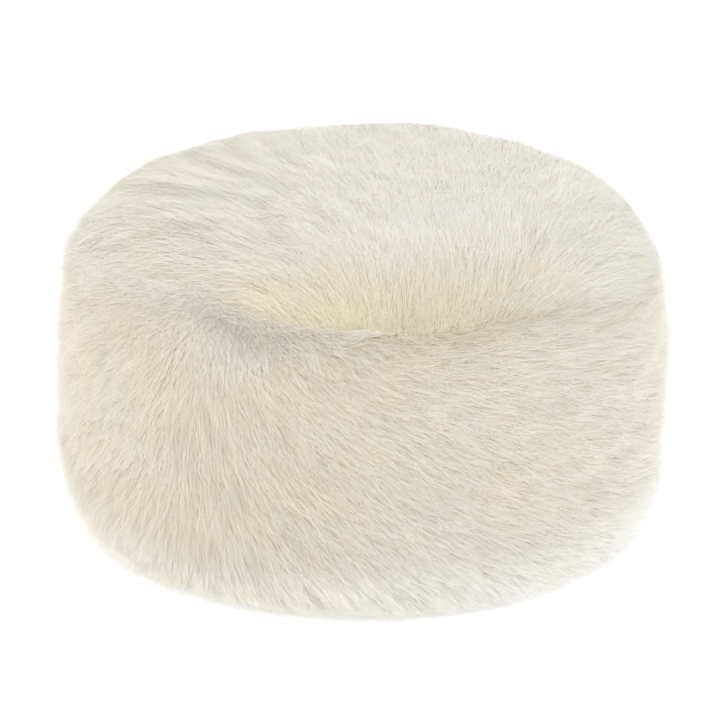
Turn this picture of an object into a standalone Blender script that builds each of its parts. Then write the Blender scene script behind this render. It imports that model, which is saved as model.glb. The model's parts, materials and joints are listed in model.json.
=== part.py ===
"""Fur pillbox hat: a side band and a crown of deep pile fur, each on its own knitted backing.

Metres, +Z up. The origin is on the surface that the hat stands on, under the middle of the
head opening. The front of the hat faces -Y.
"""

import math

import bmesh
import bpy
from mathutils import Vector

# Head opening, an oval for a 58 cm head
HEAD_HALF_WIDTH = 0.086
HEAD_HALF_DEPTH = 0.098
CLOTH = 0.0025
WALL_RADIUS = HEAD_HALF_WIDTH + CLOTH
WALL_OVAL = HEAD_HALF_DEPTH / HEAD_HALF_WIDTH

# Heights of the backing
HEM_Z = 0.0
SEAM_Z = 0.108
TURN_DOWN = 0.004
DOME_RISE = 0.012
GAP = 0.0003

# Pile under the locks: half width across the ears, and how much longer it is front to back
PILE_RADIUS = 0.1218
FUR_OVAL = 1.085
CREASE_SLOPE = 0.28

# Facets
ROUND_STEPS = 56
VOXEL = 0.0017
BAND_FACETS = 4900
CROWN_FACETS = 3000

# Outline of the pile under the locks: share of the half width, and height
BAND_OUTLINE = (
    # share, height
    (0.900, 0.1180),
    (0.925, 0.1155),
    (0.948, 0.1120),
    (0.981, 0.1030),
    (0.996, 0.0880),
    (1.000, 0.0600),
    (0.992, 0.0350),
    (0.965, 0.0172),
    (0.922, 0.0074),
    (0.870, 0.0000),
)
CROWN_TOP = (
    # share, height
    (0.000, 0.1385),
    (0.490, 0.1385),
    (0.655, 0.1368),
    (0.744, 0.1342),
    (0.829, 0.1291),
    (0.897, 0.1222),
    (0.922, 0.1190),
)
CROWN_UNDER = (
    # share, height
    (0.920, 0.1165),
    (0.900, 0.1135),
)

# Which way the pile of the band is brushed, going round from the back: 0 is down, 90 is to the right
BAND_COMB = (
    # bearing, heading (degrees; bearing 0 is the front, 90 the right side)
    (-180, 30),
    (-135, -8),
    (-90, -35),
    (-60, -28),
    (-35, -6),
    (-15, 24),
    (5, 48),
    (30, 64),
    (60, 78),
    (90, 84),
    (135, 66),
    (180, 30),
)
# The pile of the crown fans out from this point at the front of the seam
PARTING = Vector((-0.012, -0.128, 0.0))

# Rows of locks on the band: height of the roots, number of locks, length
BAND_ROWS = (
    (0.113, 36, 0.032),
    (0.096, 34, 0.040),
    (0.076, 34, 0.042),
    (0.056, 34, 0.042),
    (0.036, 34, 0.038),
    (0.016, 36, 0.022),
)
# Rings of locks on the crown: share of the half width, number of locks, length
CROWN_RINGS = (
    (0.00, 1, 0.036),
    (0.20, 8, 0.036),
    (0.38, 14, 0.036),
    (0.56, 20, 0.034),
    (0.73, 26, 0.032),
    (0.88, 32, 0.026),
)
LOCK_RADIUS = 0.0080
# Evenly along a lock: share of its radius, and lift of its middle line off the pile
LOCK_SHAPE = (
    (0.55, -0.0055),
    (1.00, -0.0048),
    (0.85, -0.0034),
    (0.48, -0.0004),
    (0.12, 0.0024),
)
LOCK_STEP = 1 / (len(LOCK_SHAPE) - 1)

IVORY = (0.86, 0.82, 0.72, 1.0)
IVORY_TOP = (0.88, 0.86, 0.79, 1.0)
KNIT = (0.78, 0.74, 0.64, 1.0)


def material(name, colour, roughness):
    """A plain cloth or fur material."""
    made = bpy.data.materials.new(name)
    made.use_nodes = True
    shader = made.node_tree.nodes["Principled BSDF"]
    shader.inputs["Base Color"].default_value = colour
    shader.inputs["Roughness"].default_value = roughness
    shader.inputs["Metallic"].default_value = 0.0
    return made


def collection(name):
    """A new collection in the scene."""
    made = bpy.data.collections.new(name)
    bpy.context.scene.collection.children.link(made)
    return made


def add_object(name, mesh, group):
    """A mesh object in a collection."""
    made = bpy.data.objects.new(name, mesh)
    group.objects.link(made)
    return made


def as_mesh(source):
    """The evaluated mesh of an object, whose object is then removed."""
    bpy.context.view_layer.update()
    graph = bpy.context.evaluated_depsgraph_get()
    mesh = bpy.data.meshes.new_from_object(source.evaluated_get(graph))
    mesh.transform(source.matrix_world)
    bpy.data.objects.remove(source)
    return mesh


def turned(profile, oval, group):
    """A surface turned about Z from (radius, height) points, top to bottom, and made oval."""
    line = bpy.data.meshes.new("profile")
    places = [(radius, 0, height) for radius, height in profile]
    line.from_pydata(places, [(i, i + 1) for i in range(len(places) - 1)], [])
    guide = add_object("profile", line, group)
    screw = guide.modifiers.new("turn", "SCREW")
    screw.axis = "Z"
    screw.steps = ROUND_STEPS
    screw.render_steps = ROUND_STEPS
    screw.use_merge_vertices = True
    screw.merge_threshold = 1e-5
    mesh = as_mesh(guide)
    for vertex in mesh.vertices:
        vertex.co.y *= oval
    return mesh


def cloth_wall(name, profile, skin, group):
    """A wall of cloth whose outer face is turned from the profile, with its thickness inwards."""
    wall = add_object(name, turned(profile, WALL_OVAL, group), group)
    thickness = wall.modifiers.new("thickness", "SOLIDIFY")
    thickness.thickness = CLOTH
    thickness.offset = -1
    thickness.use_even_offset = True
    wall.data.materials.append(skin)
    wall.data.shade_smooth()
    wall.data.set_sharp_from_angle(angle=math.radians(50))
    return wall


def crown_dome(radius, rise, base, grow=0.0):
    """The (radius, height) points of the crown's shallow dome, from its middle to its edge."""
    steps = 6
    points = []
    for i in range(steps + 1):
        share = i / steps
        height = base + rise * (1 - share**2.4)
        points.append((share * (radius + grow), height + grow))
    return points


def head_core(group):
    """A cutter the shape of the backing's outer face, a gap bigger, and open at the hem."""
    clear = GAP + 0.0004
    profile = crown_dome(WALL_RADIUS, DOME_RISE, SEAM_Z + TURN_DOWN, clear)
    radius = WALL_RADIUS + clear
    below = -0.02
    profile += [(radius, SEAM_Z), (radius, below), (0, below)]
    core = add_object("head_core", turned(profile, WALL_OVAL, group), group)
    return core


def divider(name, above, group):
    """A cutter that holds everything above or below the sloping plane of the seam."""
    outer, far = 0.2, 0.3
    middle = SEAM_Z + TURN_DOWN / 2 - CREASE_SLOPE * WALL_RADIUS + (-GAP if above else GAP)
    edge = middle + CREASE_SLOPE * outer
    if above:
        profile = [(0, far), (outer, far), (outer, edge), (0, middle)]
    else:
        profile = [(0, middle), (outer, edge), (outer, -far), (0, -far)]
    return add_object(name, turned(profile, FUR_OVAL, group), group)


def from_table(table, key):
    """The second column of a two-column table, read between its rows by a smooth step."""
    rows = sorted(table)
    if key <= rows[0][0]:
        return rows[0][1]
    for (low, first), (high, second) in zip(rows, rows[1:]):
        if key <= high:
            share = (key - low) / (high - low)
            share = share * share * (3 - 2 * share)
            return first + (second - first) * share
    return rows[-1][1]


def band_radius(height):
    """Half width of the band's pile at a height."""
    by_height = [(z, share) for share, z in BAND_OUTLINE]
    return PILE_RADIUS * from_table(by_height, height)


def crown_height(radius):
    """Height of the crown's pile at a distance from the middle."""
    return from_table(CROWN_TOP, radius / PILE_RADIUS)


def band_point(bearing, height, lift):
    """A point on the band's pile, lifted off it."""
    radius = band_radius(height) + lift
    return Vector((radius * math.sin(bearing), -FUR_OVAL * radius * math.cos(bearing), height))


def band_lock(bearing, height, length):
    """The centre line of a lock on the band, brushed as the comb table says."""
    points = []
    for _, lift in LOCK_SHAPE:
        points.append(band_point(bearing, max(height, 0.004), lift))
        turn = math.degrees(math.remainder(bearing, math.tau))
        nearer_seam = 0.7 + 0.6 * height / SEAM_Z
        heading = math.radians(from_table(BAND_COMB, turn) * nearer_seam)
        bearing += length * LOCK_STEP * math.sin(heading) / PILE_RADIUS
        height -= length * LOCK_STEP * math.cos(heading)
    return points


def crown_lock(place, length):
    """The centre line of a lock on the crown, fanned out from the parting."""
    points = []
    for _, lift in LOCK_SHAPE:
        flat = Vector((place.x, place.y / FUR_OVAL, 0))
        edge = PILE_RADIUS * CROWN_TOP[-1][0]
        reach = min(flat.length, edge)
        over = flat.length - reach
        radius = reach + 0.3 * over
        scale = radius / flat.length if flat.length > 0 else 1
        height = crown_height(reach) - over + lift
        points.append(Vector((place.x * scale, place.y * scale, height)))
        away = place - PARTING
        away.z = 0
        place = place + away.normalized() * length * LOCK_STEP
    return points


def locks(lines, group):
    """Every lock of a pile as one closed mesh of tapered tufts."""
    curve = bpy.data.curves.new("locks", "CURVE")
    curve.dimensions = "3D"
    curve.bevel_depth = LOCK_RADIUS
    curve.bevel_resolution = 1
    curve.use_fill_caps = True
    for line in lines:
        spline = curve.splines.new("POLY")
        spline.points.add(len(line) - 1)
        for point, place, shape in zip(spline.points, line, LOCK_SHAPE):
            point.co = (*place, 1)
            point.radius = shape[0]
    return as_mesh(add_object("locks", curve, group))


def fused(name, body, tufts, facets, skin, group):
    """The locks and the pile under them made into one closed body with few facets."""
    both = bmesh.new()
    both.from_mesh(body)
    both.from_mesh(tufts)
    bmesh.ops.remove_doubles(both, verts=both.verts, dist=1e-6)
    mesh = bpy.data.meshes.new(name)
    both.to_mesh(mesh)
    both.free()
    rough = add_object(name + "_rough", mesh, group)
    grown = rough.modifiers.new("fuse", "REMESH")
    grown.mode = "VOXEL"
    grown.voxel_size = VOXEL
    whole = as_mesh(rough)
    fur = add_object(name, whole, group)
    fewer = fur.modifiers.new("fewer_facets", "DECIMATE")
    fewer.ratio = facets / (2 * len(whole.polygons))
    fur.data.materials.append(skin)
    return fur


def cut(target, cutter):
    """Takes a cutter away from an object."""
    boolean = target.modifiers.new("less_" + cutter.name, "BOOLEAN")
    boolean.operation = "DIFFERENCE"
    boolean.solver = "EXACT"
    boolean.object = cutter
    cutter.hide_render = True
    cutter.display_type = "WIRE"


def pile(outline):
    """The turned profile of a solid pile: its outline, closed to the axis at both ends."""
    sides = [(share * PILE_RADIUS, height) for share, height in outline if share > 0]
    return [(0.0, outline[0][1]), *sides, (0.0, outline[-1][1])]


def band_lines():
    """Centre lines of the locks on the band, each row staggered against the one above."""
    lines = []
    for row, (height, count, length) in enumerate(BAND_ROWS):
        for i in range(count):
            bearing = math.tau * (i + 0.5 * (row % 2)) / count
            wave = math.sin(5 * bearing + 2 * row)
            lines.append(band_lock(bearing, height + 0.002 * wave, length))
    return lines


def crown_lines():
    """Centre lines of the locks on the crown."""
    lines = []
    for ring, (share, count, length) in enumerate(CROWN_RINGS):
        for i in range(count):
            bearing = math.tau * (i + 0.5 * (ring % 2)) / count
            radius = share * PILE_RADIUS
            place = Vector((radius * math.sin(bearing), -FUR_OVAL * radius * math.cos(bearing), 0))
            lines.append(crown_lock(place, length))
    return lines


def floor_cutter(group):
    """A cutter for what would lie under the surface that the hat stands on."""
    size = 0.6
    mesh = bpy.data.meshes.new("floor_cutter")
    block = bmesh.new()
    bmesh.ops.create_cube(block, size=size)
    bmesh.ops.translate(block, verts=block.verts, vec=(0, 0, HEM_Z - size / 2))
    block.to_mesh(mesh)
    block.free()
    return add_object("floor_cutter", mesh, group)


def main():
    for old in list(bpy.data.objects):
        bpy.data.objects.remove(old)
    hat = collection("fur_pillbox_hat")
    cutters = collection("cutters")
    knit = material("knitted_backing", KNIT, 0.9)
    side_pile = material("side_fur", IVORY, 0.85)
    top_pile = material("crown_fur", IVORY_TOP, 0.85)

    band_profile = [(WALL_RADIUS, SEAM_Z - GAP), (WALL_RADIUS, SEAM_Z / 2), (WALL_RADIUS, HEM_Z)]
    cloth_wall("band_backing", band_profile, knit, hat)
    dome = crown_dome(WALL_RADIUS, DOME_RISE, SEAM_Z + TURN_DOWN)
    cloth_wall("crown_backing", [*dome, (WALL_RADIUS, SEAM_Z)], knit, hat)

    core = head_core(cutters)
    floor = floor_cutter(cutters)
    above = divider("above_the_seam", True, cutters)
    below = divider("below_the_seam", False, cutters)

    band_body = turned(pile(BAND_OUTLINE), FUR_OVAL, cutters)
    band = fused("band_fur", band_body, locks(band_lines(), cutters), BAND_FACETS, side_pile, hat)
    for cutter in (above, core, floor):
        cut(band, cutter)

    crown_body = turned(pile((*CROWN_TOP, *CROWN_UNDER)), FUR_OVAL, cutters)
    crown = fused("crown_fur", crown_body, locks(crown_lines(), cutters), CROWN_FACETS, top_pile, hat)
    for cutter in (below, core):
        cut(crown, cutter)


main()
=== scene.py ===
"""Fur pillbox hat, the looks: deep ivory pile brushed to one side, on a knitted backing.

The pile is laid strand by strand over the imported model. A strand starts under the dense underfur,
bends over along the way that the fur is brushed, and ends at the outline of the hat. Crown and band
are brushed apart from one point at the front of the seam between them.
"""

from __future__ import annotations

import json
import logging
import math
from dataclasses import dataclass, replace
from enum import Enum

import bpy
import numpy as np
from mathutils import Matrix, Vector

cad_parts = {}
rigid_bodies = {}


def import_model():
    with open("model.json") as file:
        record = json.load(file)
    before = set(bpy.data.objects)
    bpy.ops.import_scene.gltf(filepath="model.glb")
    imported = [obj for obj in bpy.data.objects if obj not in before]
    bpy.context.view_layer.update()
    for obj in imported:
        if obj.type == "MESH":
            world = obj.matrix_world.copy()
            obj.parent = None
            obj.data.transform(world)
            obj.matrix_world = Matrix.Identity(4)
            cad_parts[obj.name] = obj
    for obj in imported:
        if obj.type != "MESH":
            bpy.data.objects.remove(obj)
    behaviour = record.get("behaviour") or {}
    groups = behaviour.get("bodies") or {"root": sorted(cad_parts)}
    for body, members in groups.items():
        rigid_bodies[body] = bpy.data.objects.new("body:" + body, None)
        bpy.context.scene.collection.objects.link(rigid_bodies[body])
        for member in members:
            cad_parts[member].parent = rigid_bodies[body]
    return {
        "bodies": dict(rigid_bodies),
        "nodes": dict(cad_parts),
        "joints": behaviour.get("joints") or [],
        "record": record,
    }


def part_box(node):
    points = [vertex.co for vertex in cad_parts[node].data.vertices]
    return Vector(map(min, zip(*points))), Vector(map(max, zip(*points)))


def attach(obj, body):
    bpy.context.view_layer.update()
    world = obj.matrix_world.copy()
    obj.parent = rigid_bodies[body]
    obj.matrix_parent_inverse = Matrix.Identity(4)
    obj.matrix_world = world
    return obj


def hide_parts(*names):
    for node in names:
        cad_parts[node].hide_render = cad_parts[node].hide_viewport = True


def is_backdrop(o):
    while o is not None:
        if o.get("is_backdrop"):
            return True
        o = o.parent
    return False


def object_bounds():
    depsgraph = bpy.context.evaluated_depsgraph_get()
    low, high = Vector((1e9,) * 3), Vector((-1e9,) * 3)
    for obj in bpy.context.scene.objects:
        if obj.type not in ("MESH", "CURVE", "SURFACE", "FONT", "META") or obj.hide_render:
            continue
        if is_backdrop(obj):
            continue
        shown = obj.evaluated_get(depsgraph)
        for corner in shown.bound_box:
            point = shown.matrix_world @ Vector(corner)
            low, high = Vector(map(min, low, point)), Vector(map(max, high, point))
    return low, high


log = logging.getLogger("fur_pillbox_hat")

MM = 0.001
LOWEST = 0.3 * MM
BODY = "root"
UV_MAP = "OFBake"
ALONG = "along"
TONE = "tone"
Colour = tuple[float, float, float]
Place = tuple[float, float, float]


class Part(Enum):
    """The two sewn parts of the hat that carry pile."""

    CROWN = "crown"
    BAND = "band"

    @property
    def slot(self) -> str:
        """Name of the part's material slot."""
        return "crown_fur" if self is Part.CROWN else "side_fur"


def smooth_step(value: np.ndarray) -> np.ndarray:
    """A soft ramp from 0 to 1 for values from 0 to 1."""
    share = np.clip(value, 0.0, 1.0)
    return share * share * (3 - 2 * share)


def bell(distance: np.ndarray, width: float) -> np.ndarray:
    """A soft bell: 1 at no distance, and next to nothing from twice the width on."""
    return np.exp(-((distance / width) ** 2))


def taper(share: np.ndarray) -> np.ndarray:
    """Width of a strand along its length: a little fuller half way, and nothing at its tip."""
    return (1 - share**2.2) * (0.85 + 0.3 * share)


def unit(vectors: np.ndarray) -> np.ndarray:
    """The vectors at length 1."""
    return vectors / np.maximum(np.linalg.norm(vectors, axis=-1, keepdims=True), 1e-9)


def wrapped(bearing: np.ndarray) -> np.ndarray:
    """Bearings between minus and plus half a turn."""
    return (bearing + math.pi) % math.tau - math.pi


@dataclass(frozen=True)
class Outline:
    """The turned outline of the fur, measured along its arc from the middle of the crown.

    Attributes:
        half_width: Half the width of the fur across the ears.
        oval: Depth front to back as a multiple of the width.
        height: Height of the fur.
        points: Rows of share of the half width and share of the height, from the top down.
        step: Distance between the samples of the arc.
        rounding: How far along the arc each corner of the points is smoothed.
    """

    half_width: float
    oval: float
    height: float
    points: tuple[tuple[float, float], ...] = (
        (0.000, 1.000),
        (0.480, 0.996),
        (0.640, 0.991),
        (0.735, 0.975),
        (0.822, 0.939),
        (0.894, 0.884),
        (0.946, 0.817),
        (0.982, 0.732),
        (0.998, 0.620),
        (1.006, 0.423),
        (1.001, 0.246),
        (0.984, 0.113),
        (0.954, 0.036),
        (0.918, 0.002),
        (0.790, 0.002),
    )
    step: float = 0.5 * MM
    rounding: float = 9 * MM

    def samples(self) -> tuple[np.ndarray, np.ndarray, np.ndarray]:
        """Evenly spaced samples of the outline.

        Returns:
            The arc length, radius and height of each sample.
        """
        radius = np.array([row[0] for row in self.points]) * self.half_width
        height = np.array([row[1] for row in self.points]) * self.height
        arc = np.concatenate([[0.0], np.cumsum(np.hypot(np.diff(radius), np.diff(height)))])
        even = np.arange(0.0, arc[-1], self.step)
        radius, height = np.interp(even, arc, radius), np.interp(even, arc, height)
        reach = int(self.rounding / self.step)
        kernel = np.hanning(2 * reach + 1)
        kernel /= kernel.sum()
        further = np.arange(1, reach + 1)
        end_radius = radius[-1] + (radius[-1] - radius[-2]) * further
        end_height = height[-1] + (height[-1] - height[-2]) * further
        radius = np.concatenate([-radius[reach:0:-1], radius, end_radius])
        height = np.concatenate([height[reach:0:-1], height, end_height])
        return even, np.convolve(radius, kernel, "valid"), np.convolve(height, kernel, "valid")


@dataclass(frozen=True)
class Crease:
    """The sewn seam, where the pile of crown and band parts.

    Attributes:
        height: Height of the seam on the outside of the fur.
        width: Half width of the dip along the arc.
        ripple: Swell of the small waves that the seam runs in.
    """

    TABLE = (
        # bearing, how far the seam lies under its level, how far the pile sinks there,
        # how far the piles of crown and band mingle across it (mm)
        (-180, 0.0, 2.2, 3.5),
        (-125, 3.0, 1.6, 5.0),
        (-90, 4.0, 0.8, 7.0),
        (-70, 0.0, 0.6, 8.0),
        (-50, -6.5, 0.2, 7.0),
        (-35, -6.5, 0.2, 5.5),
        (-22, 0.0, 1.2, 3.2),
        (-8, 1.8, 2.6, 1.8),
        (8, 1.4, 3.4, 1.2),
        (25, 0.0, 3.0, 1.4),
        (42, 1.0, 2.4, 2.0),
        (60, 5.0, 1.8, 3.0),
        (90, 5.0, 1.4, 4.0),
        (130, 2.0, 1.8, 4.0),
        (180, 0.0, 2.2, 3.5),
    )
    height: float = 117 * MM
    width: float = 6.5 * MM
    ripple: float = 0.7 * MM

    def read(self, bearing: np.ndarray, column: int) -> np.ndarray:
        """A column of the table at each bearing, in metres."""
        rows = np.array(self.TABLE)
        return np.interp(wrapped(bearing), np.radians(rows[:, 0]), rows[:, column] * MM)

    def sway(self, bearing: np.ndarray) -> np.ndarray:
        """How far the seam wanders down from its level at each bearing."""
        return self.read(bearing, 1) + self.ripple * np.sin(7 * bearing + 1.0)

    def dip(self, bearing: np.ndarray, past: np.ndarray) -> np.ndarray:
        """How far the pile sinks at a distance past the seam."""
        return self.read(bearing, 2) * bell(past, self.width)

    def mingling(self, bearing: np.ndarray) -> np.ndarray:
        """How far the roots of crown and band stray across the seam at each bearing."""
        return self.read(bearing, 3)


class Surface:
    """Places on the outside of the fur, by bearing round the hat and arc length down its outline.

    Bearing 0 is the front of the hat and grows towards its right side in the picture.
    """

    FLOOR_GAP = 0.4 * MM
    SMOOTH_MIDDLE = 40 * MM
    LUMPS = (
        # swell, turns round the hat, cycles a metre of arc, phase
        (0.4 * MM, 3, 9.0, 0.4),
        (0.4 * MM, 5, -14.0, 2.1),
        (0.4 * MM, 8, 21.0, 4.0),
        (0.35 * MM, 13, -30.0, 1.2),
        (0.3 * MM, 19, 37.0, 5.2),
    )

    def __init__(self, outline: Outline, crease: Crease) -> None:
        """Samples the outline.

        Args:
            outline: The turned outline of the fur.
            crease: The seam between crown and band.
        """
        self.oval = outline.oval
        self.crease = crease
        self.arc, self.radius, self.height = outline.samples()
        self.down_r = np.gradient(self.radius, self.arc)
        self.down_z = np.gradient(self.height, self.arc)
        self.length = float(self.arc[-1])
        self.seam = float(np.interp(-crease.height, -self.height, self.arc))

    def radius_at(self, arc: np.ndarray) -> np.ndarray:
        """Half width of the fur at each arc length."""
        return np.interp(arc, self.arc, self.radius)

    def seam_at(self, bearing: np.ndarray) -> np.ndarray:
        """Arc length of the seam at each bearing."""
        return self.seam + self.crease.sway(bearing)

    def lumps(self, bearing: np.ndarray, arc: np.ndarray) -> np.ndarray:
        """How far the pile stands proud of its even outline, in soft rises a few centimetres across.

        Args:
            bearing: Bearings in radians.
            arc: Arc lengths.

        Returns:
            Heights over the even outline.
        """
        total = np.zeros(np.broadcast(bearing, arc).shape)
        for swell, turns, cycles, phase in self.LUMPS:
            total = total + swell * np.sin(turns * bearing + math.tau * cycles * arc + phase)
        return total * smooth_step(arc / self.SMOOTH_MIDDLE)

    def frame_at(self, bearing: np.ndarray, arc: np.ndarray) -> tuple[np.ndarray, np.ndarray]:
        """The point and the outward normal at each bearing and arc length.

        Args:
            bearing: Bearings in radians.
            arc: Arc lengths of the same shape.

        Returns:
            Points and unit normals, with a last axis of three.
        """
        radius, height = self.radius_at(arc), np.interp(arc, self.arc, self.height)
        down_r, down_z = np.interp(arc, self.arc, self.down_r), np.interp(arc, self.arc, self.down_z)
        sine, cosine = np.sin(bearing), np.cos(bearing)
        point = np.stack([radius * sine, -self.oval * radius * cosine, height], axis=-1)
        normal = np.stack([-down_z * sine, down_z * cosine / self.oval, down_r], axis=-1)
        return point, unit(normal)

    def place(self, bearing: np.ndarray, arc: np.ndarray, depth: np.ndarray) -> np.ndarray:
        """Points at a depth under the surface, with its lumps and the crease of the seam.

        Args:
            bearing: Bearings in radians.
            arc: Arc lengths.
            depth: Depths under the surface.

        Returns:
            The points, kept just above the floor.
        """
        point, normal = self.frame_at(bearing, arc)
        sunk = depth + self.crease.dip(bearing, arc - self.seam_at(bearing)) - self.lumps(bearing, arc)
        point = point - normal * sunk[..., None]
        point[..., 2] = np.maximum(point[..., 2], self.FLOOR_GAP)
        return point


class Comb:
    """The way that the pile is brushed."""

    HEM_SHARE = 0.9
    TABLE = (
        # bearing, heading at the hem, half way up and at the seam (0 is down, 90 to the right)
        (-180, 20, 30, 35),
        (-135, -12, -8, -20),
        (-90, -28, -36, -56),
        (-60, -26, -35, -56),
        (-46, -20, -30, -46),
        (-38, -4, -8, -30),
        (-31, 16, 18, -4),
        (-20, 38, 44, 38),
        (-8, 47, 54, 64),
        (4, 50, 60, 79),
        (15, 56, 62, 83),
        (27, 65, 64, 83),
        (41, 73, 71, 82),
        (60, 76, 76, 82),
        (90, 76, 80, 86),
        (135, 60, 66, 70),
        (180, 20, 30, 35),
    )
    ACROSS = (-125, -100, -80, -62, -42, -17, 8, 32, 57, 82, 107, 125)
    CROWN_TABLE = (
        # how far back, then the turn to the right from straight back at each place across (mm)
        (-112, (-90, -90, -86, -80, -71, -40, -12, -6, 6, 62, 82, 88)),
        (-87, (-82, -82, -80, -76, -70, -48, -10, -10, 2, 32, 66, 84)),
        (-40, (-76, -72, -66, -58, -46, -34, -14, -4, 4, 20, 48, 70)),
        (40, (-76, -68, -54, -42, -30, -20, -8, 0, 8, 18, 36, 60)),
        (110, (-66, -50, -38, -30, -22, -14, -6, 0, 6, 14, 28, 45)),
    )

    def __init__(self, surface: Surface) -> None:
        """Keeps the surface whose arc the headings are read on."""
        self.surface = surface

    def band_heading(self, bearing: np.ndarray, arc: np.ndarray) -> np.ndarray:
        """The heading of the band's pile, read smoothly from the table.

        Args:
            bearing: Bearings in radians.
            arc: Arc lengths.

        Returns:
            Headings in radians.
        """
        rows = np.radians(np.array(self.TABLE, dtype=float))
        turned = wrapped(bearing)
        columns = [np.interp(turned, rows[:, 0], rows[:, i]) for i in (1, 2, 3)]
        seam = self.surface.seam
        up = 1 - (arc - seam) / (self.surface.length * self.HEM_SHARE - seam)
        low, high = smooth_step(up * 2), smooth_step(up * 2 - 1)
        return columns[0] + (columns[1] - columns[0]) * low + (columns[2] - columns[1]) * high

    def crown_direction(self, flat: np.ndarray) -> np.ndarray:
        """The way that the crown's pile runs on its unrolled disc.

        Args:
            flat: Places on the disc, as right and back distances from its middle.

        Returns:
            Unit directions on the disc.
        """
        backs = np.array([row[0] for row in self.CROWN_TABLE]) * MM
        across = np.array(self.ACROSS) * MM
        turns = [np.interp(flat[..., 0], across, np.radians(row[1])) for row in self.CROWN_TABLE]
        turn = turns[0]
        for index in range(1, len(turns)):
            near, far = backs[index - 1], backs[index]
            share = smooth_step((flat[..., 1] - near) / (far - near))
            turn = turn + (turns[index] - turns[index - 1]) * share
        return np.stack([np.sin(turn), np.cos(turn)], axis=-1)


@dataclass
class Strands:
    """Centre lines of strands with their widths and shades.

    Attributes:
        lines: Points, strand by strand from root to tip.
        normals: Outward normals of the hat at those points.
        widths: Half widths at those points.
        tones: One shade for each strand, from 0 to 1.
        ripeness: How much of the way from root to tip each strand's colour goes.
        bearings: Bearing of each root.
    """

    TWIST = 0.3
    ROUNDNESS = 0.1
    MAP_EDGE = (0.2, 0.1)

    lines: np.ndarray
    normals: np.ndarray
    widths: np.ndarray
    tones: np.ndarray
    ripeness: np.ndarray
    bearings: np.ndarray

    def chosen(self, keep: np.ndarray) -> Strands:
        """The strands that a mask keeps."""
        return Strands(*(values[keep] for values in vars(self).values()))

    def ribbons(self, seed: int) -> tuple[np.ndarray, np.ndarray]:
        """Flat tapered ribbons along the strands, each to a point and shaded as if it were round.

        Args:
            seed: Seed of the ribbons' twists.

        Returns:
            The corners and the normals, strand by strand in pairs of left and right.
        """
        random = np.random.default_rng(seed)
        count, points = self.lines.shape[:2]
        along = unit(np.gradient(self.lines, axis=1))
        across = unit(np.cross(along, self.normals))
        raised = unit(np.cross(across, along))
        twist = random.uniform(-self.TWIST, self.TWIST, count)[:, None, None]
        sine, cosine = np.sin(twist), np.cos(twist)
        across, raised = across * cosine + raised * sine, raised * cosine - across * sine
        aside = across * self.widths[..., None]
        corners = np.stack([self.lines - aside, self.lines + aside], axis=2)
        soft = (1 - self.ROUNDNESS) * self.normals + self.ROUNDNESS * raised
        lean = self.ROUNDNESS * across
        normals = unit(np.stack([soft - lean, soft + lean], axis=2))
        shape = (count, 2 * points, 3)
        return corners.reshape(shape)[:, :-1], normals.reshape(shape)[:, :-1]

    def mesh(self, name: str, seed: int) -> bpy.types.Mesh:
        """The ribbons as one mesh.

        Args:
            name: Name of the mesh.
            seed: Seed of the ribbons' twists.

        Returns:
            The mesh, with its map, its shades and its normals.
        """
        corners, normals = self.ribbons(seed)
        count, per = corners.shape[:2]
        points = self.lines.shape[1]
        quads = points - 2
        pattern = [2 * row + corner for row in range(quads) for corner in (0, 1, 3, 2)]
        pattern += [2 * quads, 2 * quads + 1, 2 * quads + 2]
        starts = [4 * row for row in range(quads + 1)]
        strand = np.arange(count)[:, None]
        loops = (np.array(pattern) + per * strand).ravel()
        face_starts = (np.array(starts) + len(pattern) * strand).ravel()

        mesh = bpy.data.meshes.new(name)
        mesh.vertices.add(count * per)
        mesh.vertices.foreach_set("co", corners.astype(np.float32).ravel())
        mesh.loops.add(len(loops))
        mesh.loops.foreach_set("vertex_index", loops.astype(np.int32))
        mesh.polygons.add(len(face_starts))
        mesh.polygons.foreach_set("loop_start", face_starts.astype(np.int32))
        mesh.update(calc_edges=True)

        share = np.repeat(np.linspace(0, 1, points), 2)[:-1]
        put_values(mesh, ALONG, (share * self.ripeness[:, None]).ravel())
        put_values(mesh, TONE, np.repeat(self.tones, per))

        side = np.tile([0.0, 1.0], points)[:-1]
        side[-1] = 0.5
        cells = math.ceil(math.sqrt(count))
        aside, above = self.MAP_EDGE
        u = (strand % cells + aside + (1 - 2 * aside) * side) / cells
        v = (strand // cells + above + (1 - 2 * above) * share) / cells
        corner_uv = np.stack([u.ravel(), v.ravel()], axis=1)[loops]
        mesh.uv_layers.new(name=UV_MAP).uv.foreach_set("vector", corner_uv.astype(np.float32).ravel())
        mesh.shade_smooth()
        mesh.normals_split_custom_set_from_vertices(normals.reshape(-1, 3).tolist())
        return mesh


def put_values(mesh: bpy.types.Mesh, name: str, values: np.ndarray) -> None:
    """Stores one number for each vertex under a name that materials read."""
    layer = mesh.attributes.new(name, "FLOAT", "POINT")
    layer.data.foreach_set("value", values.astype(np.float32))


def add_piece(name: str, mesh: bpy.types.Mesh, finish: bpy.types.Material) -> bpy.types.Object:
    """A new object with one material.

    Args:
        name: Name of the object.
        mesh: Its mesh.
        finish: Its material.

    Returns:
        The object, linked to the scene.
    """
    piece = bpy.data.objects.new(name, mesh)
    piece.data.materials.append(finish)
    bpy.context.scene.collection.objects.link(piece)
    return piece


def add_fur(part: Part, name: str, mesh: bpy.types.Mesh, finish: bpy.types.Material) -> None:
    """Adds a piece of one part's fur on the hat's body, and hides the part's imported fur.

    Args:
        part: Crown or band.
        name: Name of the piece.
        mesh: Its mesh.
        finish: Its material.
    """
    piece = add_piece(name, mesh, finish)
    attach(piece, BODY)
    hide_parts(f"{part.value}_fur")
    triangles = len(mesh.loops) - 2 * len(mesh.polygons)
    log.info("%s: %d faces, %d triangles", name, len(mesh.polygons), triangles)


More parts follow.
